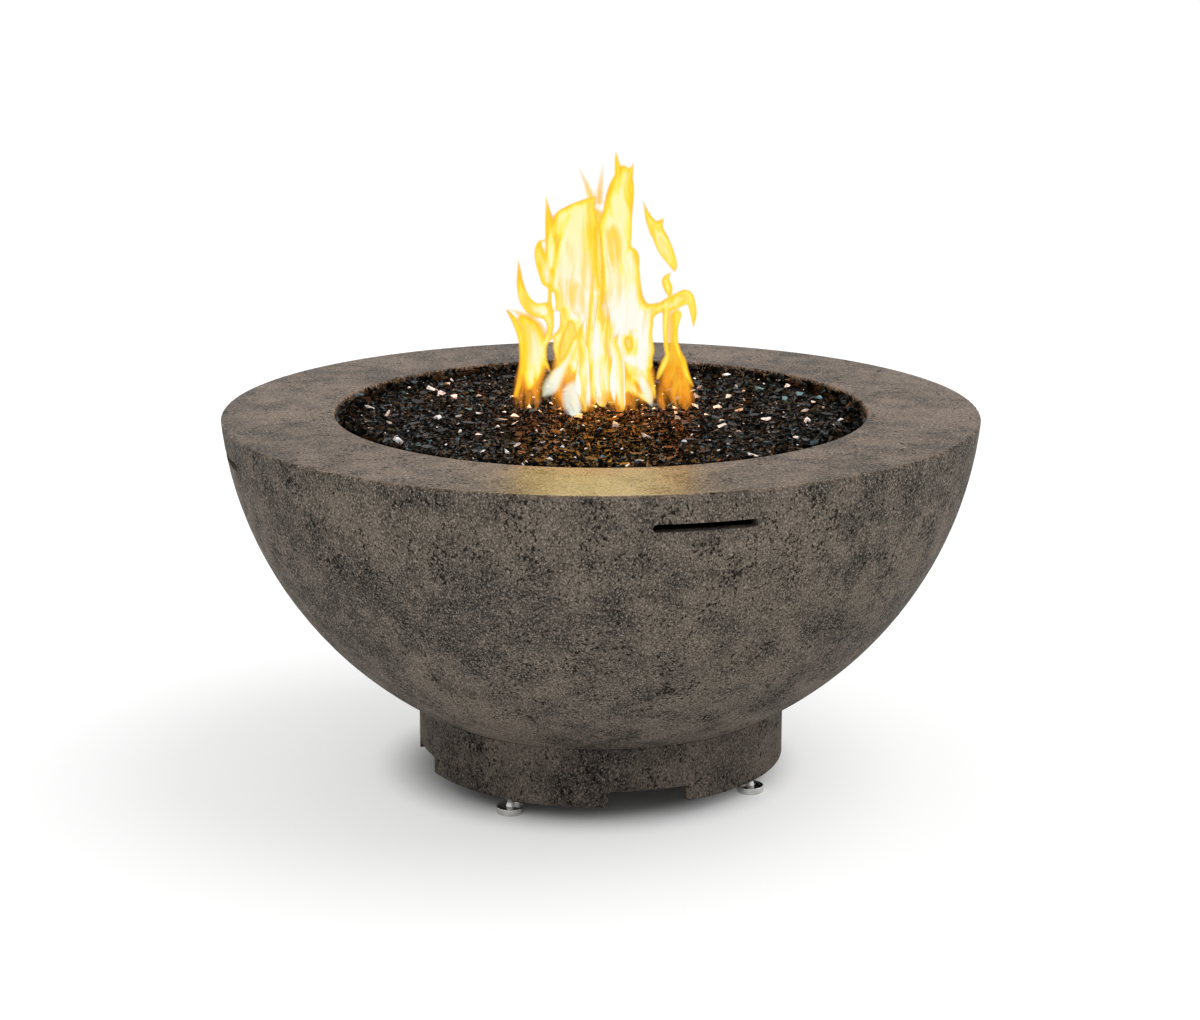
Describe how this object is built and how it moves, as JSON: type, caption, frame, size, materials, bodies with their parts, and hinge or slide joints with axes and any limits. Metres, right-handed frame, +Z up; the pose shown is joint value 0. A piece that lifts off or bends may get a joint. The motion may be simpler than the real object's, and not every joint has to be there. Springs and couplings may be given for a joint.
{
  "type": "propane fire bowl",
  "caption": "Round cast-concrete gas fire bowl with a wide flat rim, vent slots, fire-glass bed over a star burner, key valve, and a notched base on levelling feet.",
  "frame": {"origin": "on the ground under the middle of the bowl", "axes": "+Z up along the bowl's axis; +Y to the rear, where the key valve and the gas inlet are; vent slots and base notches face +X, -X, +Y and -Y"},
  "size_m": [1.2186, 1.2186, 0.6033],
  "materials": {
    "concrete": "matte",
    "foot_steel": "satin",
    "fastener_steel": "satin",
    "stainless": "satin",
    "brass": "satin",
    "chrome": "polished",
    "seat_plastic": "matte",
    "fire_glass": "gloss"
  },
  "bodies": {
    "root": {"bowl_shell": "concrete", "rim_ring": "concrete", "base_ring": "concrete", "base_bolts": "fastener_steel", "base_washers": "fastener_steel", "base_nuts": "fastener_steel", "pan_washers": "fastener_steel", "pan_lock_nut": "fastener_steel", "wall_nut": "fastener_steel", "inlet_bracket": "fastener_steel", "bracket_screws": "fastener_steel", "key_sleeve": "fastener_steel", "burner_nipple": "fastener_steel", "burner_pan": "stainless", "star_burner": "stainless", "flex_line_upper": "stainless", "flex_line_lower": "stainless", "air_mixer": "brass", "orifice_spud": "brass", "mixer_elbow": "brass", "flare_nuts": "brass", "valve_body": "brass", "packing_nut": "brass", "inlet_fitting": "brass", "inlet_nut": "brass", "foot_inserts": "brass", "key_flange": "chrome", "valve_seats": "seat_plastic", "fire_glass_bed": "fire_glass"},
    "key_stem": {"valve_ball": "chrome", "valve_stem": "brass"},
    "shutter": {"air_shutter": "brass", "shutter_screw": "fastener_steel"},
    "pad_1": {"foot_pad_1": "foot_steel"},
    "stud_1": {"foot_stud_1": "foot_steel"},
    "pad_2": {"foot_pad_2": "foot_steel"},
    "stud_2": {"foot_stud_2": "foot_steel"},
    "pad_3": {"foot_pad_3": "foot_steel"},
    "stud_3": {"foot_stud_3": "foot_steel"},
    "pad_4": {"foot_pad_4": "foot_steel"},
    "stud_4": {"foot_stud_4": "foot_steel"}
  },
  "joints": [
    {"name": "key_turn", "type": "hinge", "parent": "root", "child": "key_stem", "pos_m": [0, 0.52245, 0.48932], "axis": [0, 0.953, -0.3029], "range_deg": [-90, 0]},
    {"name": "air_shutter_turn", "type": "hinge", "parent": "root", "child": "shutter", "pos_m": [0, 0, 0.43], "axis": [0, 0, 1], "range_deg": [0, 90]},
    {"name": "foot_1_travel", "type": "slide", "parent": "root", "child": "pad_1", "axis": [0, 0, 1], "range_m": [-0.012, 0.01]},
    {"name": "foot_1_turn", "type": "hinge", "parent": "pad_1", "child": "stud_1", "pos_m": [0.1987, 0.1987, 0.03], "axis": [0, 0, 1], "range_deg": [-2722, 2268]},
    {"name": "foot_2_travel", "type": "slide", "parent": "root", "child": "pad_2", "axis": [0, 0, 1], "range_m": [-0.012, 0.01]},
    {"name": "foot_2_turn", "type": "hinge", "parent": "pad_2", "child": "stud_2", "pos_m": [-0.1987, 0.1987, 0.03], "axis": [0, 0, 1], "range_deg": [-2722, 2268]},
    {"name": "foot_3_travel", "type": "slide", "parent": "root", "child": "pad_3", "axis": [0, 0, 1], "range_m": [-0.012, 0.01]},
    {"name": "foot_3_turn", "type": "hinge", "parent": "pad_3", "child": "stud_3", "pos_m": [-0.1987, -0.1987, 0.03], "axis": [0, 0, 1], "range_deg": [-2722, 2268]},
    {"name": "foot_4_travel", "type": "slide", "parent": "root", "child": "pad_4", "axis": [0, 0, 1], "range_m": [-0.012, 0.01]},
    {"name": "foot_4_turn", "type": "hinge", "parent": "pad_4", "child": "stud_4", "pos_m": [0.1987, -0.1987, 0.03], "axis": [0, 0, 1], "range_deg": [-2722, 2268]}
  ],
  "couplings": [
    {"joint": "foot_1_turn", "follows": "foot_1_travel", "rad_per_m": 3957.9},
    {"joint": "foot_2_turn", "follows": "foot_2_travel", "rad_per_m": 3957.9},
    {"joint": "foot_3_turn", "follows": "foot_3_travel", "rad_per_m": 3957.9},
    {"joint": "foot_4_turn", "follows": "foot_4_travel", "rad_per_m": 3957.9}
  ]
}
